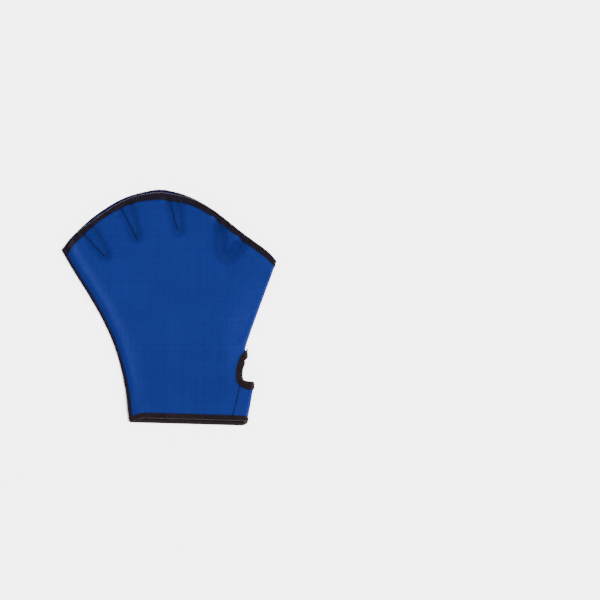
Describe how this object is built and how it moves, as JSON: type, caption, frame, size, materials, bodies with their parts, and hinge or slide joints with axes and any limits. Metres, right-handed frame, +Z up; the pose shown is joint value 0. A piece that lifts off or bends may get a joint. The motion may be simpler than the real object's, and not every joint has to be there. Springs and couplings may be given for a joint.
{
  "type": "webbed swim glove",
  "caption": "Fingerless neoprene swim glove lying flat, fanned out into a webbed paddle with stitched finger channels, a bound thumb hole and a bound wrist.",
  "frame": {"origin": "middle of the glove's footprint, on the surface that it lies on", "axes": "+Y towards the fingers, +X towards the thumb side, +Z up out of the front layer, which has the strap seam"},
  "size_m": [0.171, 0.1886, 0.015],
  "materials": {
    "neoprene": "matt blue jersey laminated on foam rubber",
    "binding_tape": "matt black woven binding tape",
    "overlock_thread": "close black overlock thread"
  },
  "bodies": {
    "root": {"shell": "neoprene", "finger_edge": "overlock_thread", "side_seam": "overlock_thread", "wrist_binding": "binding_tape", "thumb_binding": "binding_tape", "strap_seam": "overlock_thread"}
  },
  "joints": []
}
